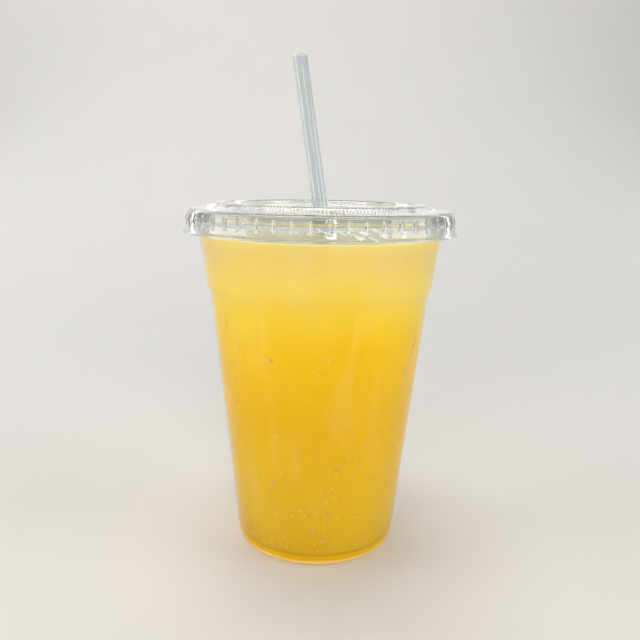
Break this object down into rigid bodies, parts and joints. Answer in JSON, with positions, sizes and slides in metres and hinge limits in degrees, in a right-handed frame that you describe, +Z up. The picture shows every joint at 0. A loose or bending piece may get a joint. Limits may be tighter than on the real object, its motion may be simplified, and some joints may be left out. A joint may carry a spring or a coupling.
{
  "type": "cup of kumquat limeade",
  "caption": "Clear tapered takeaway cup filled with cloudy yellow limeade, closed by a flat clear push-on lid with a leaning straw.",
  "frame": {"origin": "centre of the cup's foot ring, on the surface that the cup stands on", "axes": "+Z up along the cup's axis, +X to the right and +Y away from the viewer of the picture; the straw's top leans towards -X and a little towards +Y"},
  "size_m": [0.104, 0.104, 0.1924],
  "materials": {
    "clear_cup": "clear, glossy",
    "clear_lid": "clear, glossy",
    "clear_straw": "clear, slightly hazy",
    "limeade": "cloudy yellow liquid"
  },
  "bodies": {
    "root": {"cup": "clear_cup", "lid": "clear_lid", "straw": "clear_straw", "limeade": "limeade"}
  },
  "joints": []
}
